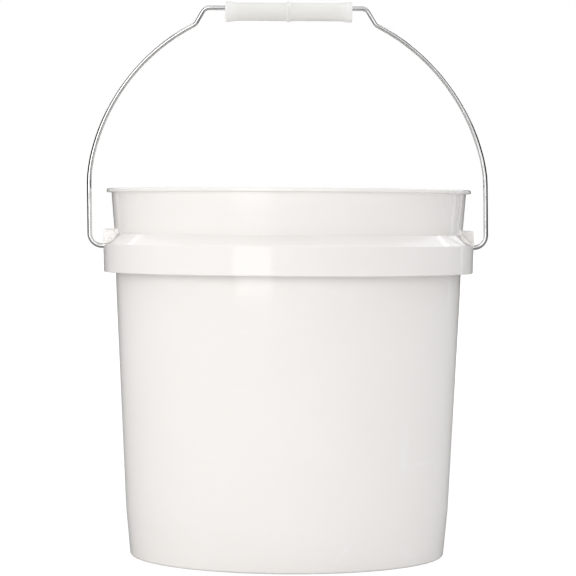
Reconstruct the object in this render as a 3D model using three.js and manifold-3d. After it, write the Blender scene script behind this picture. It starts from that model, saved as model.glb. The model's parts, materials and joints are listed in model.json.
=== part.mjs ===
// Two-gallon plastic pail with a stiffening collar, a hooked wire bail and a tubular grip.
// Millimetres, +Z up. The origin is the middle of the foot ring, on the surface it stands on.
// X runs through the two ears, and the bail stands upright in the XZ plane.
import * as THREE from "three";
import { mergeVertices } from "three/addons/utils/BufferGeometryUtils.js";
import Module from "manifold-3d";

// Pail wall: its outside radius at the shoulder leads, and the wall tapers and flares from there
const PAIL_HEIGHT = 240.5;
const WALL = 1.9;
const SHOULDER_RADIUS = 114.4;
const MOUTH_FLARE = 2.25;
const COLLAR_TAPER = 1.35;
const BODY_TAPER = 6.95;
const HEEL_TAPER = 2.9;
const HEEL_HEIGHT = 30;
const RIM_RISE = 29.5;
const COLLAR_WALL_HEIGHT = 39;

// Rim lip round the mouth
const LIP_OUTSTAND = 3.2;
const LIP_HEIGHT = 2.3;
const LIP_ROUND = 0.8;

// Floor, the foot ring under it, and the moulding gate at its centre
const FLOOR = 2.2;
const FOOT_HEIGHT = 4.3;
const FOOT_WIDTH = 2.6;
const FOOT_DRAFT = 0.5;
const FOOT_ROUND = 1.8;
const FLOOR_FILLET = 4;
const GATE_RADIUS = 9;
const GATE_DEPTH = 0.8;

// Collar: a conical shoulder and a skirt, open below
const SKIRT_STANDOFF = 7.4;
const SKIRT_HEIGHT = 18.3;
const SKIRT_WALL = 1.8;
const SKIRT_DRAFT = 0.4;
const SKIRT_ROUND = 0.8;
const SHOULDER_RISE = 6.8;

// Stiffening ribs inside the collar, between the wall and the skirt
const RIB_COUNT = 12;
const RIB_WIDTH = 1.5;
const RIB_RECESS = 4;
const RIB_BITE = 0.9;

// Ears: hollow blocks on the shoulder, open below
const EAR_HALF_WIDTH = 10.8;
const EAR_RISE = 3;
const EAR_WALL = 1.8;
const EAR_PROUD = 0.1;
const EAR_ROUND = 1.6;
const EAR_LAP = 1;
const EAR_SLIT_LENGTH = 3.6;
const EAR_SLIT_WIDTH = 1;
const PIVOT_DROP = 1.3;

// Wire bail
const WIRE_DIAMETER = 3;
const HOLE_CLEARANCE = 0.6;
const HOOK_RISE = 8;
const HOOK_BEND = 2.6;
const LEG_STANDOFF = 8.9;
const LEG_BEND = 8;
const LEG_SWEEP = 60;
const ARC_SWELL = 1.35;
const ARC_CENTRE_RISE = 28.3;
const BAIL_PLAY = 0.4;
const BAIL_LEAN = 2.4;
const JOG_CLEARANCE = 11.5;
const JOG_RUN = 6.4;
const JOG_RISE = 10.8;
const JOG_BEND = 5.3;

// Grip: a thin tube that hangs loosely on the bail's straight stretch
const GRIP_LENGTH = 83.4;
const GRIP_BORE = 8.6;
const GRIP_WALL = 1.6;
const GRIP_FLARE = 0.75;
const GRIP_FLARE_LAND = 3.1;
const GRIP_FLARE_TAPER = 4.2;
const GRIP_RING = 0.8;
const GRIP_RING_LAND = 1;
const GRIP_RING_TAPER = 1.2;
const GRIP_CONTACT = 0.3;
const GRIP_SLIDE = 0.7;

// Facets
const PAIL_SEGMENTS = 72;
const WIRE_SIDES = 10;
const GRIP_SEGMENTS = 32;
const HOLE_SEGMENTS = 20;
const BEND_STEP = THREE.MathUtils.degToRad(18);
const ARC_STEPS = 14;

// Heights and radii worked out from the sizes above
const SHOULDER_HEIGHT = PAIL_HEIGHT - RIM_RISE;
const MOUTH_RADIUS = SHOULDER_RADIUS + MOUTH_FLARE;
const COLLAR_FOOT = SHOULDER_HEIGHT - COLLAR_WALL_HEIGHT;
const COLLAR_FOOT_RADIUS = SHOULDER_RADIUS - COLLAR_TAPER;
const HEEL_RADIUS = COLLAR_FOOT_RADIUS - BODY_TAPER;
const BASE_RADIUS = HEEL_RADIUS - HEEL_TAPER;
const SKIRT_RADIUS = SHOULDER_RADIUS + SKIRT_STANDOFF;
const LIP_UNDERSIDE = PAIL_HEIGHT - LIP_HEIGHT;
const LIP_RADIUS = MOUTH_RADIUS + LIP_OUTSTAND;
const FLOOR_TOP = FOOT_HEIGHT + FLOOR;
const SKIRT_TOP = SHOULDER_HEIGHT - SHOULDER_RISE;
const SKIRT_BOTTOM = SKIRT_TOP - SKIRT_HEIGHT;
const SKIRT_INSIDE = SKIRT_RADIUS - SKIRT_WALL;
const EAR_TOP = SHOULDER_HEIGHT + EAR_RISE;
const PIVOT_HEIGHT = SKIRT_TOP - PIVOT_DROP;
const WIRE_RADIUS = WIRE_DIAMETER / 2;
const LEG_RADIUS = SKIRT_RADIUS + LEG_STANDOFF;
const ARC_RADIUS = LEG_RADIUS + ARC_SWELL;
const ARC_CENTRE = PIVOT_HEIGHT + ARC_CENTRE_RISE;
const JOG_HEAD = GRIP_LENGTH / 2 + JOG_CLEARANCE;
const JOG_FOOT = JOG_HEAD + JOG_RUN;
const BAIL_TOP = ARC_CENTRE + Math.sqrt(ARC_RADIUS ** 2 - JOG_FOOT ** 2) + JOG_RISE;

const wasm = await Module();
wasm.setup();

// Outside radius of the wall at a height: a heel, a long taper, an upright stretch inside the
// collar and a flared mouth
function wallRadius(z) {
  const heights = [0, HEEL_HEIGHT, COLLAR_FOOT, SHOULDER_HEIGHT, LIP_UNDERSIDE];
  const radii = [BASE_RADIUS, HEEL_RADIUS, COLLAR_FOOT_RADIUS, SHOULDER_RADIUS, MOUTH_RADIUS];
  const above = heights.findIndex((height) => height >= z);
  const upper = above < 0 ? heights.length - 1 : Math.max(above, 1);
  return THREE.MathUtils.mapLinear(z, heights[upper - 1], heights[upper], radii[upper - 1], radii[upper]);
}

// Points of an open outline whose corners are rounded. Each corner is [x, y, radius].
function roundedOutline(corners) {
  const points = [];
  corners.forEach(([x, y, radius = 0], index) => {
    const corner = new THREE.Vector2(x, y);
    const isEnd = index === 0 || index === corners.length - 1;
    if (isEnd || radius === 0) {
      points.push(corner);
      return;
    }
    const before = new THREE.Vector2(...corners[index - 1].slice(0, 2)).sub(corner).normalize();
    const after = new THREE.Vector2(...corners[index + 1].slice(0, 2)).sub(corner).normalize();
    const turn = Math.PI - Math.acos(THREE.MathUtils.clamp(before.dot(after), -1, 1));
    const steps = Math.max(2, Math.ceil(turn / BEND_STEP));
    const centre = corner.clone().addScaledVector(
      before.clone().add(after).normalize(),
      radius / Math.cos(turn / 2),
    );
    const start = corner.clone().addScaledVector(before, radius * Math.tan(turn / 2)).sub(centre);
    const sense = Math.sign(before.cross(after)) * -1;
    for (let step = 0; step <= steps; step += 1) {
      const spoke = start.clone().rotateAround(new THREE.Vector2(), (sense * turn * step) / steps);
      points.push(spoke.add(centre));
    }
  });
  return points;
}

// A THREE geometry as a solid that can be joined and cut
function toSolid(geometry) {
  const bare = geometry.clone();
  bare.deleteAttribute("normal");
  bare.deleteAttribute("uv");
  const merged = mergeVertices(bare);
  return new wasm.Manifold(new wasm.Mesh({
    numProp: 3,
    vertProperties: new Float32Array(merged.attributes.position.array),
    triVerts: new Uint32Array(merged.index.array),
  }));
}

// A joined or cut solid as a THREE geometry
function toGeometry(solid) {
  const mesh = solid.getMesh();
  const geometry = new THREE.BufferGeometry();
  geometry.setAttribute("position", new THREE.BufferAttribute(mesh.vertProperties, 3));
  geometry.setIndex(new THREE.BufferAttribute(mesh.triVerts, 1));
  geometry.computeVertexNormals();
  return geometry;
}

// A profile of radius and height turned about Z
function turned(profile, segments) {
  return new THREE.LatheGeometry(profile, segments).rotateX(Math.PI / 2);
}

// A box given by its lowest and highest corners
function boxBetween(low, high) {
  const size = high.map((value, axis) => value - low[axis]);
  const middle = high.map((value, axis) => (value + low[axis]) / 2);
  return new THREE.BoxGeometry(...size).translate(...middle);
}

// Section of the pail's wall, floor, foot, collar and rim, from the axis under the floor and back
function pailProfile() {
  const footOutside = wallRadius(0);
  const footInside = footOutside - FOOT_ROUND - FOOT_WIDTH;
  const skirtFoot = SKIRT_RADIUS - SKIRT_DRAFT;
  const skirtSlope = (SKIRT_RADIUS - SHOULDER_RADIUS) / SHOULDER_RISE;
  const skinDrop = SKIRT_WALL * (Math.hypot(1, skirtSlope) - 1) / skirtSlope;
  const cornerHeight = SKIRT_TOP - skinDrop;
  const rootRadius = wallRadius(SHOULDER_HEIGHT - SKIRT_WALL);
  const rootHeight = cornerHeight + (SKIRT_INSIDE - rootRadius) / skirtSlope;
  return roundedOutline([
    [0, FOOT_HEIGHT - GATE_DEPTH],
    [GATE_RADIUS, FOOT_HEIGHT - GATE_DEPTH],
    [GATE_RADIUS, FOOT_HEIGHT],
    [footInside - FOOT_DRAFT, FOOT_HEIGHT],
    [footInside, 0],
    [footOutside, 0, FOOT_ROUND],
    [HEEL_RADIUS, HEEL_HEIGHT],
    [COLLAR_FOOT_RADIUS, COLLAR_FOOT],
    [wallRadius(rootHeight), rootHeight],
    [SKIRT_INSIDE, cornerHeight],
    [skirtFoot - SKIRT_WALL, SKIRT_BOTTOM],
    [skirtFoot, SKIRT_BOTTOM, SKIRT_ROUND],
    [SKIRT_RADIUS, SKIRT_TOP, SKIRT_ROUND],
    [SHOULDER_RADIUS, SHOULDER_HEIGHT],
    [MOUTH_RADIUS, LIP_UNDERSIDE],
    [LIP_RADIUS, LIP_UNDERSIDE],
    [LIP_RADIUS, PAIL_HEIGHT, LIP_ROUND],
    [MOUTH_RADIUS - WALL, PAIL_HEIGHT, LIP_ROUND],
    [SHOULDER_RADIUS - WALL, SHOULDER_HEIGHT],
    [COLLAR_FOOT_RADIUS - WALL, COLLAR_FOOT],
    [HEEL_RADIUS - WALL, HEEL_HEIGHT],
    [wallRadius(FLOOR_TOP) - WALL, FLOOR_TOP, FLOOR_FILLET],
    [0, FLOOR_TOP],
  ]);
}

// One rib web between the wall and the skirt, its root in both
function collarRib(angle) {
  const inside = wallRadius(SKIRT_BOTTOM + RIB_RECESS) - WALL + RIB_BITE;
  const outside = SKIRT_INSIDE - SKIRT_DRAFT + RIB_BITE;
  const shoulderBite = SKIRT_TOP + SKIRT_RADIUS - RIB_BITE * Math.SQRT2;
  const web = new THREE.Shape([
    new THREE.Vector2(inside, SKIRT_BOTTOM + RIB_RECESS),
    new THREE.Vector2(outside, SKIRT_BOTTOM + RIB_RECESS),
    new THREE.Vector2(outside, shoulderBite - outside),
    new THREE.Vector2(SHOULDER_RADIUS, shoulderBite - SHOULDER_RADIUS),
    new THREE.Vector2(inside, shoulderBite - SHOULDER_RADIUS),
  ]);
  const geometry = new THREE.ExtrudeGeometry(web, { depth: RIB_WIDTH, bevelEnabled: false });
  geometry.translate(0, 0, -RIB_WIDTH / 2);
  geometry.rotateX(Math.PI / 2);
  return geometry.rotateZ(angle);
}

// The solid block of the ear on +X: its top corners are rounded and its face is flush with the skirt
function earBlock() {
  const low = SKIRT_TOP - EAR_LAP;
  const outline = new THREE.Shape(roundedOutline([
    [-EAR_HALF_WIDTH, low],
    [EAR_HALF_WIDTH, low],
    [EAR_HALF_WIDTH, EAR_TOP, EAR_ROUND],
    [-EAR_HALF_WIDTH, EAR_TOP, EAR_ROUND],
    [-EAR_HALF_WIDTH, low],
  ]));
  const root = SHOULDER_RADIUS - WALL / 2 - EAR_LAP / 2;
  const depth = SKIRT_RADIUS + EAR_PROUD - root;
  const geometry = new THREE.ExtrudeGeometry(outline, { depth, bevelEnabled: false });
  // The outline's plane (across, up) becomes (Y, Z) and the extrusion runs along +X
  geometry.applyMatrix4(new THREE.Matrix4().makeBasis(
    new THREE.Vector3(0, 1, 0),
    new THREE.Vector3(0, 0, 1),
    new THREE.Vector3(1, 0, 0),
  ));
  return geometry.translate(root, 0, 0);
}

// The hollow of the ear on +X, which opens down into the collar
function earHollow() {
  const inside = EAR_HALF_WIDTH - EAR_WALL;
  const wallFace = wallRadius(EAR_TOP) + EAR_PROUD;
  return boxBetween(
    [wallFace, -inside, SKIRT_TOP - EAR_LAP - EAR_PROUD],
    [SKIRT_INSIDE, inside, EAR_TOP - EAR_WALL],
  );
}

// The round hole that the wire goes in by
function wireHole() {
  const radius = WIRE_RADIUS + HOLE_CLEARANCE;
  const hole = new THREE.CylinderGeometry(radius, radius, 3 * SKIRT_WALL, HOLE_SEGMENTS);
  hole.rotateZ(Math.PI / 2);
  return hole.translate(SKIRT_RADIUS - SKIRT_WALL / 2, 0, PIVOT_HEIGHT);
}

// The slit at the foot of both side walls of the ear, along the shoulder's slope
function earSlit() {
  const across = 2 * EAR_HALF_WIDTH + 2 * EAR_WALL;
  const slit = new THREE.BoxGeometry(EAR_SLIT_LENGTH, across, EAR_SLIT_WIDTH);
  slit.rotateY(Math.PI / 4);
  return slit.translate(SKIRT_INSIDE - EAR_PROUD, 0, SKIRT_TOP + EAR_SLIT_WIDTH / 2);
}

// The moulded pail: one piece of shell, collar, ribs and ears
function pailGeometry() {
  let pail = toSolid(turned(pailProfile(), PAIL_SEGMENTS));
  for (let rib = 0; rib < RIB_COUNT; rib += 1) {
    pail = pail.add(toSolid(collarRib(((rib + 0.5) * 2 * Math.PI) / RIB_COUNT)));
  }
  for (const side of [0, Math.PI]) {
    pail = pail.add(toSolid(earBlock().rotateZ(side)));
    pail = pail.subtract(toSolid(earHollow().rotateZ(side)));
    pail = pail.subtract(toSolid(wireHole().rotateZ(side)));
    pail = pail.subtract(toSolid(earSlit().rotateZ(side)));
  }
  return toGeometry(pail);
}

// Centreline of the bail in the XZ plane, from one hook's tip to the other's
function bailCorners() {
  const hook = (wallRadius(PIVOT_HEIGHT) + SKIRT_INSIDE) / 2;
  const first = Math.acos(LEG_RADIUS / ARC_RADIUS);
  const last = Math.acos(JOG_FOOT / ARC_RADIUS);
  const half = [
    [hook, PIVOT_HEIGHT + HOOK_RISE],
    [hook, PIVOT_HEIGHT, HOOK_BEND],
    [LEG_RADIUS, PIVOT_HEIGHT, LEG_BEND],
  ];
  const bends = new Map([[0, LEG_SWEEP], [ARC_STEPS, JOG_BEND]]);
  for (let step = 0; step <= ARC_STEPS; step += 1) {
    const angle = THREE.MathUtils.lerp(first, last, step / ARC_STEPS);
    const bend = bends.get(step) ?? 0;
    half.push([ARC_RADIUS * Math.cos(angle), ARC_CENTRE + ARC_RADIUS * Math.sin(angle), bend]);
  }
  half.push([JOG_HEAD, BAIL_TOP, JOG_BEND]);
  const mirrored = half.map(([x, z, bend = 0]) => [-x, z, bend]).reverse();
  return [...half, ...mirrored];
}

// A path that an extrusion follows point by point, so that bends get close steps and legs get none
class WirePath extends THREE.Curve {
  constructor(points) {
    super();
    this.points = points;
  }

  getPointAt(share, target = new THREE.Vector3()) {
    return target.copy(this.points[Math.round(share * (this.points.length - 1))]);
  }

  getTangentAt(share, target = new THREE.Vector3()) {
    const index = Math.round(share * (this.points.length - 1));
    const ahead = this.points[Math.min(index + 1, this.points.length - 1)];
    const behind = this.points[Math.max(index - 1, 0)];
    const here = this.points[index];
    const incoming = here.clone().sub(behind).normalize();
    const outgoing = ahead.clone().sub(here).normalize();
    return target.copy(incoming).add(outgoing).normalize();
  }
}

// The bail: round wire along its centreline. It sits to -X by its play and leans that way as it rises
function bailGeometry() {
  const path = new WirePath(roundedOutline(bailCorners()).map(({ x, y: z }) => {
    const lean = (BAIL_LEAN * (z - PIVOT_HEIGHT)) / (BAIL_TOP - PIVOT_HEIGHT);
    return new THREE.Vector3(x - BAIL_PLAY - lean, 0, z);
  }));
  const section = new THREE.Shape();
  section.absarc(0, 0, WIRE_RADIUS, 0, 2 * Math.PI, false);
  return new THREE.ExtrudeGeometry(section, {
    steps: path.points.length - 1,
    curveSegments: WIRE_SIDES,
    extrudePath: path,
  });
}

// The grip: a tube with flared ends and a raised ring round its middle, its axis along X
function gripGeometry() {
  const bore = GRIP_BORE / 2;
  const skin = bore + GRIP_WALL;
  const end = GRIP_LENGTH / 2;
  const flareFoot = end - GRIP_FLARE_LAND - GRIP_FLARE_TAPER;
  const ringFoot = GRIP_RING_LAND / 2 + GRIP_RING_TAPER;
  const upperHalf = [
    [skin + GRIP_RING, GRIP_RING_LAND / 2],
    [skin, ringFoot],
    [skin, flareFoot],
    [skin + GRIP_FLARE, end - GRIP_FLARE_LAND],
    [skin + GRIP_FLARE, end, GRIP_FLARE / 2],
    [bore, end],
  ];
  const lowerHalf = upperHalf.map(([radius, along, round = 0]) => [radius, -along, round]).reverse();
  const outline = roundedOutline([...lowerHalf, ...upperHalf, [bore, -end]]);
  return turned(outline, GRIP_SEGMENTS).rotateY(Math.PI / 2);
}

function piece(name, geometry, material) {
  const mesh = new THREE.Mesh(geometry, new THREE.MeshStandardMaterial(material));
  mesh.name = name;
  return mesh;
}

const pail = piece("pail", pailGeometry(), { color: 0xf1efec, roughness: 0.25, metalness: 0 });
const bail = piece("bail_wire", bailGeometry(), { color: 0xb4b6b8, roughness: 0.3, metalness: 1 });
const grip = piece("bail_grip", gripGeometry(), { color: 0xf2f1ed, roughness: 0.4, metalness: 0 });
grip.position.x = -GRIP_SLIDE;
grip.position.z = BAIL_TOP + WIRE_RADIUS + GRIP_CONTACT - GRIP_BORE / 2;

const group = new THREE.Group();
group.add(pail, bail, grip);
export default group;
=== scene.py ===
"""Looks of a plastic pail with a wire bail: fine meshes, finishes, studio and camera.

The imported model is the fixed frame. Every mesh here is in metres in that frame, with +Z up, X
through the two ears and the photograph's camera on the -Y side.
"""

from __future__ import annotations

import json
import logging
import math
from collections.abc import Sequence
from dataclasses import dataclass, field
from enum import Enum

import bmesh
import bpy
from bmesh.types import BMesh, BMVert
from bpy.types import Material, Mesh, Node, NodeSocket, NodeTree, Object, World
from mathutils import Matrix, Vector

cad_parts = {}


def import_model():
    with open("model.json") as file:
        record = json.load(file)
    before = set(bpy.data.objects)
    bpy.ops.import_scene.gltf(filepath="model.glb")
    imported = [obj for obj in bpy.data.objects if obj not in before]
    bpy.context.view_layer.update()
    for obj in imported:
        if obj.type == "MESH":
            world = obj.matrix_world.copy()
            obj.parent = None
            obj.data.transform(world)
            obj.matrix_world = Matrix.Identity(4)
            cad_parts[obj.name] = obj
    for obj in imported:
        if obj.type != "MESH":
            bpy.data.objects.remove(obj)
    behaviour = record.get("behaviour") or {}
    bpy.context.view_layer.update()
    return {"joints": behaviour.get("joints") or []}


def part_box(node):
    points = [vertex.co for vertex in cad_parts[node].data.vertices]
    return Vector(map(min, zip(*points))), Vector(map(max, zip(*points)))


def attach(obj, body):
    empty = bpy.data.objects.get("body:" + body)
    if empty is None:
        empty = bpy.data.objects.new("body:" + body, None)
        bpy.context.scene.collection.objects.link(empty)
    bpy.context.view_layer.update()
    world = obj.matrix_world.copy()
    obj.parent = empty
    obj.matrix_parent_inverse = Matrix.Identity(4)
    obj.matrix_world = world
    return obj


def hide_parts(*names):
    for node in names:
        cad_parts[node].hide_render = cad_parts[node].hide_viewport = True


log = logging.getLogger("pail")

MM = 0.001
SAME_PLACE = 1e-9
PLASTIC_IOR = 1.5
LEG_STANDOFF = 8.9 * MM

Corner = tuple[float, ...]
Colour = tuple[float, float, float]

WHITE: Colour = (1.0, 1.0, 1.0)
WARM: Colour = (1.0, 0.992, 0.98)
COOL: Colour = (0.965, 0.98, 1.0)


class Body(str, Enum):
    """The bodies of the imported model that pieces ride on."""

    PAIL = "pail"
    BAIL = "bail"
    GRIP = "grip"


class Slot(str, Enum):
    """The record's material slots."""

    PAIL = "pail_plastic"
    STEEL = "bail_steel"
    GRIP = "grip_plastic"


def rounded_outline(corners: Sequence[Corner], step: float) -> list[Vector]:
    """Rounds the corners of an open outline.

    Args:
        corners: (x, y) or (x, y, radius) for each corner, in metres.
        step: largest turn between two points of a round corner, in radians.

    Returns:
        The outline's points, ends unchanged.
    """
    points: list[Vector] = []
    for index, corner in enumerate(corners):
        here = Vector(corner[:2])
        radius = corner[2] if len(corner) > 2 else 0.0
        if radius == 0.0 or index in (0, len(corners) - 1):
            points.append(here)
            continue
        before = (Vector(corners[index - 1][:2]) - here).normalized()
        after = (Vector(corners[index + 1][:2]) - here).normalized()
        turn = math.pi - before.angle(after)
        centre = here + (before + after).normalized() * (radius / math.cos(turn / 2))
        start = here + before * radius * math.tan(turn / 2) - centre
        sense = 1.0 if before.cross(after) < 0 else -1.0
        count = max(2, math.ceil(turn / step))
        for number in range(count + 1):
            spoke = Matrix.Rotation(sense * turn * number / count, 2) @ start
            points.append(centre + spoke)
    return points


def held_outline(points: Sequence[Vector], hold: float, longest: float) -> list[Vector]:
    """Adds points that hold the shading of long stretches flat beside tight bends.

    Args:
        points: the outline.
        hold: distance of a holding point from each end of a stretch over four times as long.
        longest: longest stretch that stays undivided.

    Returns:
        The outline with its added points.
    """
    result = [points[0]]
    for start, end in zip(points, points[1:]):
        length = (end - start).length
        if length > 4 * hold:
            way = (end - start) / length
            inner = length - 2 * hold
            count = max(1, math.ceil(inner / longest))
            for number in range(count + 1):
                result.append(start + way * (hold + inner * number / count))
        result.append(end)
    return result


def turned_bmesh(outline: Sequence[Vector], segments: int) -> BMesh:
    """Turns an outline of (radius, height) about Z into a closed surface.

    Args:
        outline: points from axis to axis, or a closed loop whose last point is its first.
        segments: number of steps round the axis.

    Returns:
        A new bmesh whose faces point outwards.
    """
    mesh = bmesh.new()
    closed = (outline[0] - outline[-1]).length < SAME_PLACE
    stations = list(outline[:-1] if closed else outline)
    rings: list[list[BMVert]] = []
    for radius, height in stations:
        if radius < SAME_PLACE:
            rings.append([mesh.verts.new((0.0, 0.0, height))])
            continue
        angles = (2 * math.pi * number / segments for number in range(segments))
        rings.append([
            mesh.verts.new((radius * math.cos(a), radius * math.sin(a), height)) for a in angles
        ])
    pairs = list(zip(rings, rings[1:]))
    if closed:
        pairs.append((rings[-1], rings[0]))
    for lower, upper in pairs:
        for number in range(segments):
            following = (number + 1) % segments
            quad = [
                lower[number % len(lower)],
                lower[following % len(lower)],
                upper[following % len(upper)],
                upper[number % len(upper)],
            ]
            mesh.faces.new(list(dict.fromkeys(quad)))
    bmesh.ops.recalc_face_normals(mesh, faces=mesh.faces)
    return mesh


def prism_bmesh(
    near_points: Sequence[Sequence[float]], far_points: Sequence[Sequence[float]]
) -> BMesh:
    """Joins two like outlines in space into a closed prism.

    Args:
        near_points: corners of one end in order, the first not repeated.
        far_points: the same corners at the other end.

    Returns:
        A new closed bmesh.
    """
    mesh = bmesh.new()
    near = [mesh.verts.new(point) for point in near_points]
    far = [mesh.verts.new(point) for point in far_points]
    mesh.faces.new(near)
    mesh.faces.new(list(reversed(far)))
    for number in range(len(near)):
        following = (number + 1) % len(near)
        mesh.faces.new([near[following], near[number], far[number], far[following]])
    bmesh.ops.recalc_face_normals(mesh, faces=mesh.faces)
    return mesh


def new_object(name: str, data: bpy.types.ID) -> Object:
    """Links a new object that shows the given data."""
    thing = bpy.data.objects.new(name, data)
    bpy.context.scene.collection.objects.link(thing)
    return thing


def object_from_bmesh(name: str, mesh: BMesh) -> Object:
    """Turns a bmesh into a linked object and frees the bmesh."""
    data = bpy.data.meshes.new(name)
    mesh.to_mesh(data)
    mesh.free()
    return new_object(name, data)


def smooth_by_angle(mesh: Mesh, angle_deg: float) -> None:
    """Shades a mesh smooth, apart from edges that turn by more than an angle."""
    mesh.polygons.foreach_set("use_smooth", [True] * len(mesh.polygons))
    mesh.set_sharp_from_angle(angle=math.radians(angle_deg))


def titled(name: str) -> str:
    """Gives a socket's name for a Python name, such as Base Color for base_color."""
    return name.replace("_", " ").title()


class NodeGraph:
    """Short calls for building a node tree."""

    def __init__(self, tree: NodeTree) -> None:
        """Works on an existing tree."""
        self.tree = tree

    def node(self, kind: str, **settings: object) -> Node:
        """Adds a node and sets its options."""
        made = self.tree.nodes.new(kind)
        for option, value in settings.items():
            setattr(made, option, value)
        return made

    def set(self, entry: NodeSocket, value: object) -> None:
        """Links a socket, or writes a plain value, into an input. Colours get their alpha."""
        if isinstance(value, NodeSocket):
            self.tree.links.new(value, entry)
        else:
            entry.default_value = (*value, 1.0) if entry.type == "RGBA" else value

    def fill(self, node: Node, **values: object) -> Node:
        """Sets inputs of a node by name, such as base_color for Base Color."""
        for name, value in values.items():
            self.set(node.inputs[titled(name)], value)
        return node

    def feed(self, node: Node, *values: object) -> Node:
        """Sets the first inputs of a node in their order."""
        for entry, value in zip(node.inputs, values):
            self.set(entry, value)
        return node

    def math(self, operation: str, *values: object, clamp: bool = False) -> NodeSocket:
        """Adds a Math node and gives its output."""
        made = self.node("ShaderNodeMath", operation=operation, use_clamp=clamp)
        return self.feed(made, *values).outputs[0]

    def times(self, first: object, second: object) -> NodeSocket:
        """Multiplies two numbers."""
        return self.math("MULTIPLY", first, second)


class GeometryTree(NodeGraph):
    """A geometry-nodes tree with named inputs, built node by node."""

    def __init__(self, name: str) -> None:
        """Starts a tree that takes a geometry and gives one back."""
        super().__init__(bpy.data.node_groups.new(name, "GeometryNodeTree"))
        faces = self.tree.interface
        faces.new_socket("Geometry", in_out="INPUT", socket_type="NodeSocketGeometry")
        faces.new_socket("Geometry", in_out="OUTPUT", socket_type="NodeSocketGeometry")
        self.source = self.tree.nodes.new("NodeGroupInput")
        self.result = self.tree.nodes.new("NodeGroupOutput")

    def take(self, name: str, kind: str) -> None:
        """Adds a named input of a socket type such as NodeSocketFloat."""
        self.tree.interface.new_socket(name, in_out="INPUT", socket_type=kind)

    def shape(self, name: str) -> NodeSocket:
        """Gives the geometry of the object at a named input."""
        self.take(name, "NodeSocketObject")
        made = self.node("GeometryNodeObjectInfo")
        return self.fill(made, object=self.given(name)).outputs["Geometry"]

    def given(self, name: str) -> NodeSocket:
        """Gives the output socket of a named input."""
        return self.source.outputs[name]

    def finish(self, geometry: NodeSocket) -> None:
        """Ends the tree in Realize Instances and Set Material, which takes the Material input."""
        self.take("Material", "NodeSocketMaterial")
        realize = self.node("GeometryNodeRealizeInstances")
        paint = self.node("GeometryNodeSetMaterial")
        self.fill(realize, geometry=geometry)
        self.fill(paint, geometry=realize.outputs["Geometry"], material=self.given("Material"))
        self.fill(self.result, geometry=paint.outputs["Geometry"])

    def bake(self, carrier: Object, values: dict[str, object]) -> Mesh:
        """Runs the tree on an object and gives the result as a plain mesh.

        Args:
            carrier: the object whose data the tree starts from.
            values: a value for each named input.

        Returns:
            A new mesh, with the modifier gone from the carrier.
        """
        modifier = carrier.modifiers.new(self.tree.name, "NODES")
        modifier.node_group = self.tree
        for item in self.tree.interface.items_tree:
            if item.in_out == "INPUT" and item.name in values:
                modifier[item.identifier] = values[item.name]
        bpy.context.view_layer.update()
        depsgraph = bpy.context.evaluated_depsgraph_get()
        mesh = bpy.data.meshes.new_from_object(carrier.evaluated_get(depsgraph))
        carrier.modifiers.remove(modifier)
        return mesh


def baked_piece(
    name: str, tree: GeometryTree, carrier: Object, values: dict[str, object], crease_deg: float
) -> Object:
    """Bakes a tree into a finished piece and removes the objects that it was made from.

    Args:
        name: the piece's name.
        tree: the tree.
        carrier: the object whose data the tree starts from.
        values: a value for each of the tree's inputs.
        crease_deg: edges that turn by more than this stay sharp.

    Returns:
        The piece, with its place in its mesh.
    """
    mesh = tree.bake(carrier, values)
    helpers = [value for value in values.values() if isinstance(value, Object)]
    for helper in (carrier, *helpers):
        bpy.data.objects.remove(helper)
    smooth_by_angle(mesh, crease_deg)
    mesh.name = name
    return new_object(name, mesh)


class ShaderGraph(NodeGraph):
    """Short calls for building a material or a shader node group."""

    def mix(self, share: object, first: object, second: object) -> NodeSocket:
        """Mixes two colours and gives the result."""
        made = self.node("ShaderNodeMix", data_type="RGBA")
        self.set(made.inputs[0], share)
        self.set(made.inputs[6], first)
        self.set(made.inputs[7], second)
        return made.outputs[2]

    def mix_values(self, share: object, first: object, second: object) -> NodeSocket:
        """Mixes two plain values and gives the result."""
        made = self.node("ShaderNodeMix", data_type="FLOAT")
        self.set(made.inputs[0], share)
        self.set(made.inputs[2], first)
        self.set(made.inputs[3], second)
        return made.outputs[0]

    def ramp(
        self, value: object, low: float, high: float, start: float = 0.0, end: float = 1.0
    ) -> NodeSocket:
        """Maps a value from low..high to start..end, clamped."""
        made = self.node("ShaderNodeMapRange", clamp=True)
        return self.feed(made, value, low, high, start, end).outputs[0]

    def noise(self, vector: object, scale: object, detail: float = 2.0) -> NodeSocket:
        """Adds a Noise Texture and gives its factor."""
        made = self.node("ShaderNodeTexNoise")
        return self.fill(made, vector=vector, scale=scale, detail=detail).outputs["Fac"]

    def bump(self, shader: Node, height: object, distance: float) -> None:
        """Gives a shader a bump from a height."""
        made = self.fill(self.node("ShaderNodeBump"), height=height, distance=distance)
        self.fill(shader, normal=made.outputs["Normal"])

    def surface_mix(self, share: object, first: Node, second: Node) -> None:
        """Makes a material's surface a mix of two shaders."""
        made = self.node("ShaderNodeMixShader")
        self.feed(made, share, first.outputs[0], second.outputs[0])
        self.fill(self.tree.nodes["Material Output"], surface=made.outputs[0])

    def group(self, tree: NodeTree, **values: object) -> Node:
        """Places a node group with its named inputs set."""
        return self.fill(self.node("ShaderNodeGroup", node_tree=tree), **values)


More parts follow.
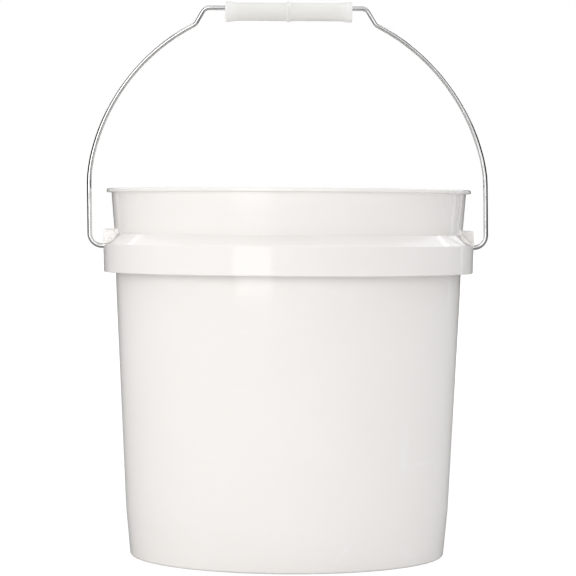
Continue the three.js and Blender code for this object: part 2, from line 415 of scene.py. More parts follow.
def new_shader_group(
    name: str, result: str, **numbers: float
) -> tuple[ShaderGraph, dict[str, NodeSocket], Node]:
    """Starts a shader node group that takes a vector and some numbers and gives one number.

    Args:
        name: the group's name.
        result: the name of its output.
        numbers: the default of each number, such as wave_scale for Wave Scale.

    Returns:
        The graph, the sockets that it takes and its output node.
    """
    tree = bpy.data.node_groups.new(name, "ShaderNodeTree")
    tree.interface.new_socket("Vector", in_out="INPUT", socket_type="NodeSocketVector")
    for entry, default in numbers.items():
        socket = tree.interface.new_socket(
            titled(entry), in_out="INPUT", socket_type="NodeSocketFloat"
        )
        socket.default_value = default
    tree.interface.new_socket(result, in_out="OUTPUT", socket_type="NodeSocketFloat")
    graph = ShaderGraph(tree)
    sockets = graph.node("NodeGroupInput").outputs
    taken = {entry: sockets[titled(entry)] for entry in ("vector", *numbers)}
    return graph, taken, graph.node("NodeGroupOutput")


def moulded_skin() -> NodeTree:
    """The faint orange peel and slow waves of a moulded skin, as a height."""
    graph, taken, given = new_shader_group(
        "moulded_skin",
        "Height",
        grain_scale=900.0,
        grain_share=0.04,
        wave_scale=22.0,
        wave_share=0.6,
    )
    grain = graph.noise(taken["vector"], taken["grain_scale"])
    wave = graph.noise(taken["vector"], taken["wave_scale"], detail=1.0)
    slow = graph.times(wave, taken["wave_share"])
    fine = graph.times(grain, taken["grain_share"])
    graph.fill(given, height=graph.math("ADD", slow, fine))
    return graph.tree


def tone_drift() -> NodeTree:
    """A slow, weak change of tone over a surface, from 0 to 1."""
    graph, taken, given = new_shader_group("tone_drift", "Value", scale=9.0)
    noise = graph.noise(taken["vector"], taken["scale"], detail=3.0)
    graph.fill(given, value=graph.ramp(noise, low=0.3, high=0.7))
    return graph.tree


def soft_mark() -> NodeTree:
    """A soft stroke on the face that looks to -Y, at a place in the XZ plane."""
    graph, taken, given = new_shader_group(
        "soft_mark",
        "Mask",
        centre_x=0.0,
        centre_z=0.0,
        half_length=0.01,
        half_width=0.001,
        angle=0.0,
        break_up=0.5,
        tear_scale=260.0,
    )
    place = graph.fill(graph.node("ShaderNodeSeparateXYZ"), vector=taken["vector"]).outputs
    across = graph.math("SUBTRACT", place["X"], taken["centre_x"])
    upward = graph.math("SUBTRACT", place["Z"], taken["centre_z"])
    cosine = graph.math("COSINE", taken["angle"])
    sine = graph.math("SINE", taken["angle"])
    along = graph.math("ADD", graph.times(across, cosine), graph.times(upward, sine))
    beside = graph.math("SUBTRACT", graph.times(upward, cosine), graph.times(across, sine))
    run = graph.math("DIVIDE", along, taken["half_length"])
    rise = graph.math("DIVIDE", beside, taken["half_width"])
    reach = graph.math("SQRT", graph.math("ADD", graph.times(run, run), graph.times(rise, rise)))
    soft = graph.ramp(reach, low=0.25, high=1.0, start=1.0, end=0.0)
    torn = graph.ramp(graph.noise(taken["vector"], taken["tear_scale"]), low=0.35, high=0.6)
    kept = graph.math("SUBTRACT", 1.0, graph.times(taken["break_up"], torn))
    front = graph.math("LESS_THAN", place["Y"], 0.0)
    graph.fill(given, mask=graph.times(graph.times(soft, kept), front))
    return graph.tree


@dataclass(frozen=True)
class SharedEffects:
    """Shader node groups that more than one finish uses."""

    peel: NodeTree = field(default_factory=moulded_skin)
    drift: NodeTree = field(default_factory=tone_drift)
    mark: NodeTree = field(default_factory=soft_mark)


def new_material(name: str) -> tuple[Material, ShaderGraph, Node]:
    """Starts a material.

    Args:
        name: the material's name.

    Returns:
        The material, its graph and its Principled BSDF.
    """
    material = bpy.data.materials.new(name)
    material.use_nodes = True
    graph = ShaderGraph(material.node_tree)
    shader = material.node_tree.nodes["Principled BSDF"]
    return material, graph, shader


def soften(shader: Node, weight: float, spread: Colour, reach: float) -> None:
    """Lets light spread inside a plastic.

    Args:
        shader: the plastic's Principled BSDF.
        weight: share of the light that goes under the surface.
        spread: how far each of the three colours goes, as shares of the reach.
        reach: the longest way under the surface.
    """
    shader.inputs["Subsurface Weight"].default_value = weight
    shader.inputs["Subsurface Radius"].default_value = spread
    shader.inputs["Subsurface Scale"].default_value = reach
    shader.inputs["IOR"].default_value = PLASTIC_IOR


@dataclass(frozen=True)
class ScuffMark:
    """One handling mark on the pail's front, in metres and degrees."""

    x: float
    z: float
    half_length: float
    half_width: float
    angle_deg: float
    strength: float


@dataclass(frozen=True)
class PailPlastic:
    """Glossy white polyethylene with a moulded skin and faint handling marks."""

    tone: Colour = (0.922, 0.896, 0.872)
    shade: Colour = (0.904, 0.88, 0.856)
    mark_tone: Colour = (0.96, 0.955, 0.95)
    roughness: float = 0.07
    roughness_spread: float = 0.04
    mark_roughness: float = 0.25
    drift_scale: float = 9.0
    skin_depth: float = 0.12 * MM
    mark_height: float = 0.1
    subsurface: float = 0.08
    subsurface_spread: Colour = (1.0, 0.95, 0.85)
    subsurface_reach: float = 2.5 * MM
    marks: tuple[ScuffMark, ...] = (
        ScuffMark(-0.029, 0.115, 0.008, 0.0016, 5, 0.32),
        ScuffMark(-0.026, 0.151, 0.006, 0.0012, -12, 0.3),
        ScuffMark(-0.048, 0.072, 0.007, 0.0014, 3, 0.25),
        ScuffMark(0.074, 0.074, 0.02, 0.004, 88, 0.5),
        ScuffMark(0.086, 0.066, 0.012, 0.002, 4, 0.5),
        ScuffMark(0.036, 0.014, 0.013, 0.0016, 52, 0.55),
        ScuffMark(0.078, 0.008, 0.016, 0.003, -40, 0.4),
    )

    def material(self, effects: SharedEffects) -> Material:
        """Builds the material from the shared effects."""
        material, graph, shader = new_material("white_polyethylene")
        place = graph.node("ShaderNodeTexCoord").outputs["Object"]
        drift = graph.group(effects.drift, vector=place, scale=self.drift_scale).outputs[0]
        worn: NodeSocket | float = 0.0
        for mark in self.marks:
            stroke = graph.group(
                effects.mark,
                vector=place,
                centre_x=mark.x,
                centre_z=mark.z,
                half_length=mark.half_length,
                half_width=mark.half_width,
                angle=math.radians(mark.angle_deg),
            ).outputs["Mask"]
            weighed = graph.times(stroke, mark.strength)
            worn = graph.math("ADD", worn, weighed, clamp=True)
        plain = graph.mix(drift, self.shade, self.tone)
        colour = graph.mix(worn, plain, self.mark_tone)
        skin_gloss = graph.math("MULTIPLY_ADD", drift, self.roughness_spread, self.roughness)
        gloss = graph.math("MULTIPLY_ADD", worn, self.mark_roughness, skin_gloss)
        graph.fill(shader, base_color=colour, roughness=gloss)
        skin = graph.group(effects.peel, vector=place).outputs["Height"]
        raised = graph.times(worn, self.mark_height)
        graph.bump(shader, graph.math("ADD", skin, raised), self.skin_depth)
        soften(shader, self.subsurface, self.subsurface_spread, self.subsurface_reach)
        return material


@dataclass(frozen=True)
class ZincSteel:
    """Bright zinc-plated wire with drawing lines along it and a mottled plating."""

    tone: Colour = (0.86, 0.865, 0.87)
    dull: Colour = (0.55, 0.555, 0.56)
    dull_share: float = 0.45
    mottle_scale: float = 160.0
    roughness: float = 0.08
    roughness_spread: float = 0.12
    lines_along: float = 60.0
    lines_round: float = 18.0
    line_scale: float = 3.0
    line_detail: float = 4.0
    line_depth: float = 0.02 * MM

    def material(self, effects: SharedEffects) -> Material:
        """Builds the material from the shared effects."""
        material, graph, shader = new_material("zinc_plated_wire")
        place = graph.node("ShaderNodeTexCoord").outputs["Object"]
        drawn = graph.node("ShaderNodeCombineXYZ")
        for axis, name, density in (
            ("X", "wire_length", self.lines_along),
            ("Y", "wire_turn", self.lines_round),
        ):
            run = graph.node("ShaderNodeAttribute", attribute_name=name).outputs["Fac"]
            graph.set(drawn.inputs[axis], graph.times(run, density))
        lines = graph.noise(drawn.outputs[0], self.line_scale, self.line_detail)
        mottle = graph.group(effects.drift, vector=place, scale=self.mottle_scale).outputs[0]
        worn = graph.times(mottle, self.dull_share)
        colour = graph.mix(worn, self.tone, self.dull)
        gloss = graph.math("MULTIPLY_ADD", lines, self.roughness_spread, self.roughness)
        graph.fill(shader, base_color=colour, roughness=gloss, metallic=1.0)
        graph.bump(shader, lines, self.line_depth)
        return material


@dataclass(frozen=True)
class MilkyTube:
    """Milky, slightly see-through plastic tube."""

    tone: Colour = (0.97, 0.968, 0.955)
    shade: Colour = (0.95, 0.947, 0.935)
    drift_scale: float = 60.0
    roughness: float = 0.2
    roughness_spread: float = 0.08
    skin_wave_scale: float = 120.0
    skin_depth: float = 0.08 * MM
    subsurface: float = 0.6
    subsurface_spread: Colour = (1.0, 1.0, 0.95)
    subsurface_reach: float = 6.0 * MM
    see_through: float = 0.06
    passed_light: float = 0.5

    def material(self, effects: SharedEffects) -> Material:
        """Builds the material from the shared effects."""
        material, graph, shader = new_material("milky_tube")
        place = graph.node("ShaderNodeTexCoord").outputs["Object"]
        drift = graph.group(effects.drift, vector=place, scale=self.drift_scale).outputs[0]
        colour = graph.mix(drift, self.shade, self.tone)
        gloss = graph.math("MULTIPLY_ADD", drift, self.roughness_spread, self.roughness)
        graph.fill(shader, base_color=colour, roughness=gloss)
        skin = graph.group(effects.peel, vector=place, wave_scale=self.skin_wave_scale)
        graph.bump(shader, skin.outputs["Height"], self.skin_depth)
        soften(shader, self.subsurface, self.subsurface_spread, self.subsurface_reach)
        graph.fill(shader, transmission_weight=self.see_through)
        passing = graph.fill(graph.node("ShaderNodeBsdfTranslucent"), color=self.tone)
        graph.surface_mix(self.passed_light, shader, passing)
        return material


@dataclass
class MouldedPail:
    """The pail: wall, floor, foot ring, rim lip, collar, ribs and hollow ears in one moulding."""

    height: float
    skirt_radius: float
    ear_reach: float
    pivot_height: float
    wall: float = 1.9 * MM
    base_radius: float = 103.2 * MM
    heel_height: float = 30 * MM
    heel_radius: float = 106.1 * MM
    collar_foot_height: float = 172 * MM
    collar_foot_radius: float = 113.05 * MM
    shoulder_height: float = 211 * MM
    shoulder_radius: float = 114.4 * MM
    mouth_radius: float = 116.65 * MM
    lip_outstand: float = 3.2 * MM
    lip_height: float = 2.3 * MM
    lip_round: float = 1.0 * MM
    floor: float = 2.2 * MM
    foot_height: float = 4.3 * MM
    foot_width: float = 2.6 * MM
    foot_round: float = 1.8 * MM
    floor_fillet: float = 4 * MM
    gate_radius: float = 9 * MM
    gate_depth: float = 0.8 * MM
    skirt_height: float = 18.3 * MM
    skirt_wall: float = 1.8 * MM
    skirt_draft: float = 0.4 * MM
    shoulder_rise: float = 6.8 * MM
    edge_round: float = 0.8 * MM
    crease_round: float = 0.8 * MM
    rib_count: int = 12
    rib_width: float = 1.5 * MM
    rib_recess: float = 4 * MM
    bite: float = 0.9 * MM
    ear_half_width: float = 10.8 * MM
    ear_rise: float = 3 * MM
    ear_wall: float = 1.8 * MM
    ear_round: float = 1.6 * MM
    ear_lap: float = 1 * MM
    ear_draft: float = 0.8 * MM
    slit_length: float = 3.6 * MM
    slit_width: float = 1.0 * MM
    hole_radius: float = 2.1 * MM
    hair_round: float = 0.3 * MM
    small_round: float = 0.4 * MM
    collar_fillet: float = 0.6 * MM
    foot_fillet: float = 1.2 * MM
    foot_draft: float = 0.5 * MM
    heel_sweep: float = 60 * MM
    body_sweep: float = 120 * MM
    shading_hold: float = 0.25 * MM
    longest_face: float = 9 * MM
    ear_bevel: float = 0.5 * MM
    ear_bevel_steps: int = 3
    hollow_inset: float = 0.1 * MM
    hollow_drop: float = 1.1 * MM
    hole_sides: int = 48
    segments: int = 192
    bend_step: float = math.radians(9)
    crease_deg: float = 32

    @property
    def skirt_top(self) -> float:
        """Height of the skirt's upper edge."""
        return self.shoulder_height - self.shoulder_rise

    @property
    def skirt_bottom(self) -> float:
        """Height of the skirt's lower edge."""
        return self.skirt_top - self.skirt_height

    @property
    def skirt_inside(self) -> float:
        """Inner radius of the skirt at its upper edge."""
        return self.skirt_radius - self.skirt_wall

    @property
    def ear_top(self) -> float:
        """Height of the ears' flat tops."""
        return self.shoulder_height + self.ear_rise

    def wall_radius(self, z: float) -> float:
        """Outside radius of the wall at a height."""
        lip_underside = self.height - self.lip_height
        stations = (
            (0.0, self.base_radius),
            (self.heel_height, self.heel_radius),
            (self.collar_foot_height, self.collar_foot_radius),
            (self.shoulder_height, self.shoulder_radius),
            (lip_underside, self.mouth_radius),
        )
        for (low, inner), (high, outer) in zip(stations, stations[1:]):
            if z <= high or high == lip_underside:
                return inner + (outer - inner) * (z - low) / (high - low)
        return self.mouth_radius

    def section(self) -> list[Vector]:
        """The turned section, from the axis under the floor round to the axis above it."""
        foot_inside = self.base_radius - self.foot_round - self.foot_width
        slope = (self.skirt_radius - self.shoulder_radius) / self.shoulder_rise
        corner = self.skirt_top - self.skirt_wall * (math.hypot(1, slope) - 1) / slope
        root_radius = self.wall_radius(self.shoulder_height - self.skirt_wall)
        root = corner + (self.skirt_inside - root_radius) / slope
        lip_underside = self.height - self.lip_height
        lip_radius = self.mouth_radius + self.lip_outstand
        floor_top = self.foot_height + self.floor
        skirt_foot = self.skirt_radius - self.skirt_draft
        gate_face = self.foot_height - self.gate_depth
        outline = rounded_outline(
            [
                (0.0, gate_face),
                (self.gate_radius, gate_face, self.hair_round),
                (self.gate_radius, self.foot_height, self.hair_round),
                (foot_inside - self.foot_draft, self.foot_height, self.foot_fillet),
                (foot_inside, 0.0, self.small_round),
                (self.base_radius, 0.0, self.foot_round),
                (self.heel_radius, self.heel_height, self.heel_sweep),
                (self.collar_foot_radius, self.collar_foot_height, self.body_sweep),
                (self.wall_radius(root), root, self.crease_round),
                (self.skirt_inside, corner, self.collar_fillet),
                (skirt_foot - self.skirt_wall, self.skirt_bottom, self.hair_round),
                (skirt_foot, self.skirt_bottom, self.edge_round),
                (self.skirt_radius, self.skirt_top, self.edge_round),
                (self.shoulder_radius, self.shoulder_height, self.crease_round),
                (self.mouth_radius, lip_underside, self.small_round),
                (lip_radius, lip_underside, self.hair_round),
                (lip_radius, self.height, self.lip_round),
                (self.mouth_radius - self.wall, self.height, self.lip_round),
                (self.shoulder_radius - self.wall, self.shoulder_height, self.heel_sweep),
                (self.collar_foot_radius - self.wall, self.collar_foot_height, self.body_sweep),
                (self.heel_radius - self.wall, self.heel_height, self.heel_sweep),
                (self.wall_radius(floor_top) - self.wall, floor_top, self.floor_fillet),
                (0.0, floor_top),
            ],
            self.bend_step,
        )
        return held_outline(outline, self.shading_hold, self.longest_face)

    def shell(self) -> Object:
        """The turned shell, without ribs or ears."""
        return object_from_bmesh("pail_shell", turned_bmesh(self.section(), self.segments))

    def rib(self) -> Object:
        """One rib web, in the XZ plane on the +X side."""
        low = self.skirt_bottom + self.rib_recess
        inside = self.wall_radius(low) - self.wall + self.bite
        outside = self.skirt_inside - self.skirt_draft + self.bite
        skin = self.skirt_top + self.skirt_radius - self.bite * math.sqrt(2)
        outline = [
            (inside, low),
            (outside, low),
            (outside, skin - outside),
            (self.shoulder_radius, skin - self.shoulder_radius),
            (inside, skin - self.shoulder_radius),
        ]
        half = self.rib_width / 2
        web = prism_bmesh(*([(x, y, z) for x, z in outline] for y in (-half, half)))
        return object_from_bmesh("pail_rib", web)

    def ears(self) -> Object:
        """The two solid ear blocks, with rounded tops and softened outer edges."""
        low = self.skirt_top - self.ear_lap
        across = self.ear_half_width
        outline = rounded_outline(
            [
                (-across, low),
                (across, low),
                (across, self.ear_top, self.ear_round),
                (-across, self.ear_top, self.ear_round),
                (-across, low),
            ],
            self.bend_step,
        )[:-1]
        root = self.shoulder_radius - self.wall / 2 - self.ear_lap / 2
        block = prism_bmesh(*([(x, y, z) for y, z in outline] for x in (root, self.ear_reach)))
        rise = self.ear_top - low
        for vert in block.verts:
            if vert.co.x > self.skirt_inside:
                vert.co.x -= self.ear_draft * (vert.co.z - low) / rise
        front = [
            edge
            for edge in block.edges
            if all(vert.co.x > self.skirt_inside for vert in edge.verts)
        ]
        bmesh.ops.bevel(
            block,
            geom=front,
            offset=self.ear_bevel,
            segments=self.ear_bevel_steps,
            profile=0.5,
            affect="EDGES",
        )
        return self.on_both_sides("pail_ears", block)

    def hollows(self) -> Object:
        """What is cut out of the ears: their hollows, the wire holes and the slits."""
        inside = self.ear_half_width - self.ear_wall
        root = self.wall_radius(self.ear_top) + self.hollow_inset
        low = Vector((root, -inside, self.skirt_top - self.hollow_drop))
        high = Vector((self.skirt_inside, inside, self.ear_top - self.ear_wall))
        cutter = bmesh.new()
        hollow = Matrix.LocRotScale((low + high) / 2, None, high - low)
        bmesh.ops.create_cube(cutter, size=1.0, matrix=hollow)
        bore = Matrix.Translation((self.skirt_radius - self.skirt_wall / 2, 0.0, self.pivot_height))
        bmesh.ops.create_cone(
            cutter,
            cap_ends=True,
            segments=self.hole_sides,
            radius1=self.hole_radius,
            radius2=self.hole_radius,
            depth=3 * self.skirt_wall,
            matrix=bore @ Matrix.Rotation(math.pi / 2, 4, "Y"),
        )
        slit_x = self.skirt_inside - self.hollow_inset
        slit_place = (slit_x, 0.0, self.skirt_top + self.slit_width / 2)
        slit_size = (self.slit_length, 2 * (self.ear_half_width + self.ear_wall), self.slit_width)
        turn = Matrix.Rotation(math.pi / 4, 4, "Y")
        slit = Matrix.Translation(slit_place) @ turn @ Matrix.Diagonal((*slit_size, 1.0))
        bmesh.ops.create_cube(cutter, size=1.0, matrix=slit)
        return self.on_both_sides("pail_hollows", cutter)

    def on_both_sides(self, name: str, half: BMesh) -> Object:
        """Repeats what is on the +X side on the -X side, turned by half a turn about Z."""
        copied = bmesh.ops.duplicate(half, geom=half.verts[:] + half.edges[:] + half.faces[:])
        verts = [item for item in copied["geom"] if isinstance(item, BMVert)]
        bmesh.ops.rotate(half, verts=verts, cent=(0, 0, 0), matrix=Matrix.Rotation(math.pi, 3, "Z"))
        bmesh.ops.recalc_face_normals(half, faces=half.faces)
        return object_from_bmesh(name, half)

    def tree(self) -> GeometryTree:
        """The tree that joins ribs and ears to the shell and cuts the ears open."""
        tree = GeometryTree("pail_moulding")
        web = tree.shape("Rib")
        ears = tree.shape("Ears")
        hollows = tree.shape("Hollows")
        tree.take("Rib Count", "NodeSocketInt")
        count = tree.given("Rib Count")
        places = tree.fill(tree.node("GeometryNodePoints"), count=count)
        number = tree.math("ADD", tree.node("GeometryNodeInputIndex").outputs[0], 0.5)
        angle = tree.times(tree.math("DIVIDE", number, count), 2 * math.pi)
        turn = tree.fill(tree.node("ShaderNodeCombineXYZ"), z=angle).outputs[0]
        ring = tree.node("GeometryNodeInstanceOnPoints")
        tree.fill(ring, points=places.outputs[0], instance=web, rotation=turn)
        ribs = tree.feed(tree.node("GeometryNodeRealizeInstances"), ring.outputs[0])
        joined = tree.node("GeometryNodeMeshBoolean", operation="UNION", solver="EXACT")
        for part in (tree.given("Geometry"), ribs.outputs[0], ears):
            tree.fill(joined, mesh_2=part)
        opened = tree.node("GeometryNodeMeshBoolean", operation="DIFFERENCE", solver="EXACT")
        tree.fill(opened, mesh_1=joined.outputs["Mesh"], mesh_2=hollows, self_intersection=True)
        tree.finish(opened.outputs["Mesh"])
        return tree

    def build(self, material: Material) -> Object:
        """Makes the finished pail.

        Args:
            material: its finish.

        Returns:
            The piece, with its place in its mesh.
        """
        values = {
            "Rib": self.rib(),
            "Ears": self.ears(),
            "Hollows": self.hollows(),
            "Rib Count": self.rib_count,
            "Material": material,
        }
        return baked_piece("pail_moulding", self.tree(), self.shell(), values, self.crease_deg)


@dataclass
class WireBail:
    """The bail: one round wire with hooks, legs, an arc, jogs and a straight stretch."""

    pivot_height: float
    top_height: float
    hook: float
    leg: float
    wire_radius: float = 1.5 * MM
    hook_rise: float = 8 * MM
    hook_bend: float = 2.6 * MM
    leg_bend: float = 8 * MM
    leg_sweep: float = 60 * MM
    arc_swell: float = 1.35 * MM
    arc_centre_rise: float = 28.3 * MM
    play: float = 0.4 * MM
    lean: float = 2.4 * MM
    jog_foot: float = 59.6 * MM
    jog_head: float = 53.2 * MM
    jog_bend: float = 5.3 * MM
    arc_steps: int = 48
    arc_lead: int = 4
    bend_step: float = math.radians(6)
    sides: int = 28
    crease_deg: float = 45

    def centreline(self) -> list[Vector]:
        """The wire's centreline from one hook's tip to the other's, in the XZ plane."""
        radius = self.leg + self.arc_swell
        centre = self.pivot_height + self.arc_centre_rise
        first = math.acos(self.leg / radius)
        last = math.acos(self.jog_foot / radius)
        half: list[Corner] = [
            (self.hook, self.pivot_height + self.hook_rise),
            (self.hook, self.pivot_height, self.hook_bend),
            (self.leg, self.pivot_height, self.leg_bend),
            (self.leg, centre + radius * math.sin(first), self.leg_sweep),
        ]
        for step in range(self.arc_lead, self.arc_steps - self.arc_lead // 2):
            angle = first + (last - first) * step / self.arc_steps
            half.append((radius * math.cos(angle), centre + radius * math.sin(angle)))
        half.append((self.jog_foot, centre + radius * math.sin(last), self.jog_bend))
        half.append((self.jog_head, self.top_height, self.jog_bend))
        mirrored = [(-corner[0], *corner[1:]) for corner in reversed(half)]
        rise = self.top_height - self.pivot_height
        points = []
        for x, z in rounded_outline([*half, *mirrored], self.bend_step):
            lean = self.lean * (z - self.pivot_height) / rise
            points.append(Vector((x - self.play - lean, 0.0, z)))
        return points

    def path(self) -> Object:
        """The centreline as a curve object of one open line."""
        data = bpy.data.curves.new("bail_path", "CURVE")
        data.dimensions = "3D"
        points = self.centreline()
        line = data.splines.new("POLY")
        line.points.add(len(points) - 1)
        for target, point in zip(line.points, points):
            target.co = (*point, 1.0)
        return new_object("bail_path", data)

    def tree(self) -> GeometryTree:
        """The tree that sweeps the round section along the path and keeps its own coordinates."""
        tree = GeometryTree("bail_sweep")
        tree.take("Wire Radius", "NodeSocketFloat")
        tree.take("Sides", "NodeSocketInt")
        section = tree.node("GeometryNodeCurvePrimitiveCircle")
        tree.fill(section, resolution=tree.given("Sides"), radius=tree.given("Wire Radius"))
        sweep = tree.fill(tree.node("GeometryNodeCurveToMesh"), fill_caps=True)
        for entry, line, name, measure in (
            ("Curve", tree.given("Geometry"), "wire_length", "Length"),
            ("Profile Curve", section.outputs["Curve"], "wire_turn", "Factor"),
        ):
            kept = tree.node("GeometryNodeStoreNamedAttribute", data_type="FLOAT", domain="POINT")
            run = tree.node("GeometryNodeSplineParameter").outputs[measure]
            tree.fill(kept, name=name, geometry=line, value=run)
            tree.set(sweep.inputs[entry], kept.outputs["Geometry"])
        tree.finish(sweep.outputs["Mesh"])
        return tree

    def build(self, material: Material) -> Object:
        """Makes the finished wire.

        Args:
            material: its finish.

        Returns:
            The piece, with its place in its mesh.
        """
        values = {"Wire Radius": self.wire_radius, "Sides": self.sides, "Material": material}
        return baked_piece("bail_round_wire", self.tree(), self.path(), values, self.crease_deg)


@dataclass
class GripTube:
    """The loose tube on the wire, with flared ends and a raised ring round its middle."""

    length: float
    middle: float
    axis_height: float
    bore: float = 4.3 * MM
    skin: float = 1.6 * MM
    flare: float = 0.75 * MM
    flare_land: float = 3.1 * MM
    flare_taper: float = 4.2 * MM
    ring: float = 0.8 * MM
    ring_land: float = 1.0 * MM
    ring_taper: float = 1.2 * MM
    bore_round: float = 0.4 * MM
    end_round: float = 0.6 * MM
    ring_round: float = 0.4 * MM
    ring_fillet: float = 0.8 * MM
    flare_sweep: float = 8 * MM
    flare_round: float = 3 * MM
    shading_hold: float = 0.15 * MM
    longest_face: float = 4 * MM
    segments: int = 96
    bend_step: float = math.radians(12)
    crease_deg: float = 40

    def section(self) -> list[Vector]:
        """The closed section of (radius, distance along the axis)."""
        outside = self.bore + self.skin
        end = self.length / 2
        half: list[Corner] = [
            (outside + self.ring, 0.0),
            (outside + self.ring, self.ring_land / 2, self.ring_round),
            (outside, self.ring_land / 2 + self.ring_taper, self.ring_fillet),
            (outside, end - self.flare_land - self.flare_taper, self.flare_sweep),
            (outside + self.flare, end - self.flare_land, self.flare_round),
            (outside + self.flare, end, self.end_round),
            (self.bore, end, self.bore_round),
        ]
        lower = [(corner[0], -corner[1], *corner[2:]) for corner in reversed(half[1:])]
        middle = (self.bore, 0.0)
        outline = rounded_outline([middle, *lower, *half[1:], middle], self.bend_step)
        return held_outline(outline, self.shading_hold, self.longest_face)

    def build(self, material: Material) -> Object:
        """Makes the finished grip.

        Args:
            material: its finish.

        Returns:
            The piece, with its place in its mesh.
        """
        tube = turned_bmesh(self.section(), self.segments)
        lay_down = Matrix.Rotation(math.pi / 2, 4, "Y")
        lift = Matrix.Translation((self.middle, 0.0, self.axis_height))
        bmesh.ops.transform(tube, matrix=lift @ lay_down, verts=tube.verts)
        piece = object_from_bmesh("bail_grip_tube", tube)
        smooth_by_angle(piece.data, self.crease_deg)
        piece.data.materials.append(material)
        return piece


@dataclass(frozen=True)
class Softbox:
    """One area lamp that faces the pail. Angles are seen from the pail, 0 is the camera's side."""

    name: str
    azimuth_deg: float
    elevation_deg: float
    distance: float
    width: float
    height: float
    radiance: float
    colour: Colour = WHITE
    mirrored: bool = True

    def build(self, target: Vector) -> Object:
        """Makes the lamp.

        Args:
            target: the point that it faces.

        Returns:
            The lamp's object.
        """
        lamp = bpy.data.lights.new(self.name, "AREA")
        lamp.shape = "RECTANGLE"
        lamp.size = self.width
        lamp.size_y = self.height
        lamp.energy = self.radiance * math.pi * self.width * self.height
        lamp.color = self.colour
        azimuth = math.radians(self.azimuth_deg)
        elevation = math.radians(self.elevation_deg)
        way = Vector((
            math.sin(azimuth) * math.cos(elevation),
            -math.cos(azimuth) * math.cos(elevation),
            math.sin(elevation),
        ))
        thing = new_object(self.name, lamp)
        thing.location = target + way * self.distance
        thing.rotation_euler = way.to_track_quat("Z", "Y").to_euler()
        thing.visible_camera = False
        thing.visible_glossy = self.mirrored
        return thing


def ring_box(
    name: str, azimuth_deg: float, radiance: float, colour: Colour = WHITE
) -> Softbox:
    """One of the upright boxes that stand round the pail and that it doesn't mirror."""
    return Softbox(name, azimuth_deg, 10, 2.5, 1.1, 2.0, radiance, colour, mirrored=False)


@dataclass
class Studio:
    """Pale floor, pale surround and soft lamps."""

    centre: Vector
    floor_size: float = 30.0
    floor_tone: Colour = (0.86, 0.86, 0.86)
    floor_roughness: float = 0.9
    floor_mirrored_dark: float = 0.7
    floor_share_near: float = 0.75
    floor_near: float = 0.7
    floor_far: float = 2.2
    floor_glow: float = 1.16
    ambient: float = 0.38
    reflected_front: float = 1.1
    reflected_back: float = 0.0
    mirror_fade: tuple[float, float] = (-0.9, -0.62)
    seen: float = 1.0
    lamps: tuple[Softbox, ...] = (
        Softbox("key_left", -21, 17, 1.36, 0.57, 1.04, 1.86, WARM),
        ring_box("wing_left", -45, 0.88, WARM),
        ring_box("side_left", -70, 0.84, WARM),
        ring_box("rear_side_left", -95, 0.34),
        ring_box("front", 0, 0.86),
        ring_box("front_right", 21, 0.72),
        ring_box("wing_right", 45, 0.26),
        ring_box("side_right", 70, 0.42, COOL),
        ring_box("rear_side_right", 95, 0.52, COOL),
        ring_box("rear_right", 120, 0.34, COOL),
        Softbox("high_right", 122, 40, 2.4, 1.8, 1.3, 1.4, COOL),
        Softbox("low_back_right", 155, 26, 2.4, 0.9, 0.7, 1.3, COOL),
        Softbox("high_left", -122, 40, 2.4, 1.8, 1.3, 1.05),
        Softbox("low_back_left", -155, 26, 2.4, 0.9, 0.7, 0.7),
        Softbox("overhead", 0, 87, 2.2, 2.6, 1.1, 1.9),
        Softbox("strip_right", 133, 2, 2.4, 0.12, 3.0, 0.6, (0.9, 0.95, 1.0)),
        Softbox("strip_left", -144, 4, 2.4, 0.14, 3.0, 0.2),
    )

    def world(self) -> World:
        """The surround: white to the camera, and dark behind in what the object mirrors."""
        world = bpy.data.worlds.new("studio_surround")
        world.use_nodes = True
        graph = ShaderGraph(world.node_tree)
        world.node_tree.nodes.clear()
        result = graph.node("ShaderNodeOutputWorld")
        path = graph.node("ShaderNodeLightPath")
        place = graph.node("ShaderNodeTexCoord").outputs["Generated"]
        way = graph.fill(graph.node("ShaderNodeSeparateXYZ"), vector=place)
        mirrored = graph.ramp(
            way.outputs["Y"], *self.mirror_fade, self.reflected_front, self.reflected_back
        )
        seen = graph.math(
            "MAXIMUM", path.outputs["Is Camera Ray"], path.outputs["Is Transmission Ray"]
        )
        lit = graph.mix_values(path.outputs["Is Glossy Ray"], self.ambient, mirrored)
        background = graph.node("ShaderNodeBackground")
        graph.fill(background, color=WHITE, strength=graph.mix_values(seen, lit, self.seen))
        graph.fill(result, surface=background.outputs[0])
        return world

    def floor(self) -> Object:
        """The floor, nearly white to the camera, with the object's shadow kept."""
        mesh = bmesh.new()
        bmesh.ops.create_grid(mesh, x_segments=2, y_segments=2, size=self.floor_size / 2)
        thing = object_from_bmesh("studio_floor", mesh)
        material, graph, shader = new_material("pale_floor")
        graph.fill(shader, base_color=self.floor_tone, roughness=self.floor_roughness)
        shader.inputs["Specular IOR Level"].default_value = 0.0
        glow = graph.node("ShaderNodeEmission")
        path = graph.node("ShaderNodeLightPath")
        camera_ray = path.outputs["Is Camera Ray"]
        graph.fill(glow, strength=graph.times(camera_ray, self.floor_glow))
        radius = graph.node("ShaderNodeVectorMath", operation="LENGTH")
        graph.feed(radius, graph.node("ShaderNodeTexCoord").outputs["Object"])
        near_to_far = graph.ramp(
            radius.outputs["Value"], self.floor_near, self.floor_far, self.floor_share_near
        )
        seen = graph.times(camera_ray, near_to_far)
        mirrored = graph.times(path.outputs["Is Glossy Ray"], self.floor_mirrored_dark)
        graph.surface_mix(graph.math("ADD", seen, mirrored, clamp=True), shader, glow)
        thing.data.materials.append(material)
        return thing

    def build(self) -> None:
        """Sets the world, the floor and the lamps."""
        bpy.context.scene.world = self.world()
        self.floor()
        for lamp in self.lamps:
            lamp.build(self.centre)


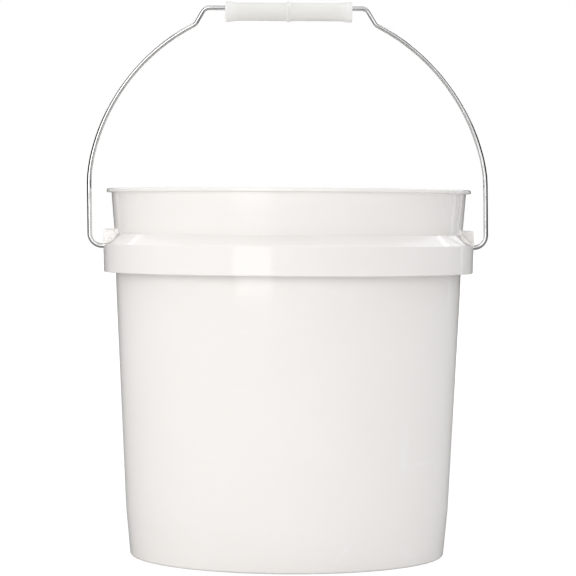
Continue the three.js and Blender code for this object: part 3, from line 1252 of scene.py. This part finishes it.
@dataclass
class PhotoCamera:
    """The photograph's camera: far off, level with the upper wall, and a little rolled."""

    distance: float = 1.70
    height: float = 0.221
    side: float = -0.15 * MM
    pixel_at_axis: float = 0.66 * MM
    image_width: int = 576
    sensor: float = 36.0
    pitch_deg: float = -1.53
    roll_deg: float = 0.335
    clip: tuple[float, float] = (0.05, 60.0)

    def build(self) -> Object:
        """Makes the camera and makes it the scene's own."""
        data = bpy.data.cameras.new("photo_camera")
        data.sensor_width = self.sensor
        data.lens = self.sensor * self.distance / (self.pixel_at_axis * self.image_width)
        data.clip_start, data.clip_end = self.clip
        thing = new_object("photo_camera", data)
        turn = Matrix.Rotation(math.radians(90 + self.pitch_deg), 4, "X")
        turn @= Matrix.Rotation(math.radians(self.roll_deg), 4, "Z")
        thing.matrix_world = Matrix.Translation((self.side, -self.distance, self.height)) @ turn
        bpy.context.scene.camera = thing
        return thing


def dress(piece: Object, body: Body, node: str) -> None:
    """Hands a piece to the frame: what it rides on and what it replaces.

    Args:
        piece: the finished piece.
        body: the body that it rides on.
        node: the CAD node that it stands for.
    """
    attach(piece, body.value)
    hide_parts(node)
    log.info("%s: %d faces, rides on %s", piece.name, len(piece.data.polygons), body.value)


def joint_height(frame: dict, name: str) -> float:
    """Height of a joint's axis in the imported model."""
    return next(joint["pos_m"][2] for joint in frame["joints"] if joint["name"] == name)


def main() -> None:
    """Builds the pail, the wire, the grip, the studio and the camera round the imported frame."""
    logging.basicConfig(level=logging.INFO, format="%(name)s: %(message)s")
    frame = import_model()
    bpy.context.scene.view_settings.view_transform = "Standard"
    PhotoCamera().build()

    pivot = joint_height(frame, "bail_swing")
    wire_axis = joint_height(frame, "grip_spin")
    _, pail_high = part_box("pail")
    grip_low, grip_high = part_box("bail_grip")
    effects = SharedEffects()

    pail = MouldedPail(
        height=pail_high.z,
        skirt_radius=pail_high.y,
        ear_reach=pail_high.x,
        pivot_height=pivot,
    )
    dress(pail.build(PailPlastic().material(effects)), Body.PAIL, "pail")

    bail = WireBail(
        pivot_height=pivot,
        top_height=wire_axis,
        hook=(pail.wall_radius(pivot) + pail.skirt_inside) / 2,
        leg=pail.skirt_radius + LEG_STANDOFF,
    )
    dress(bail.build(ZincSteel().material(effects)), Body.BAIL, "bail_wire")

    grip = GripTube(
        length=grip_high.x - grip_low.x,
        middle=(grip_low.x + grip_high.x) / 2,
        axis_height=(grip_low.z + grip_high.z) / 2,
    )
    dress(grip.build(MilkyTube().material(effects)), Body.GRIP, "bail_grip")

    Studio(centre=Vector((0.0, 0.0, pail_high.z / 2))).build()


if __name__ == "__main__":
    main()
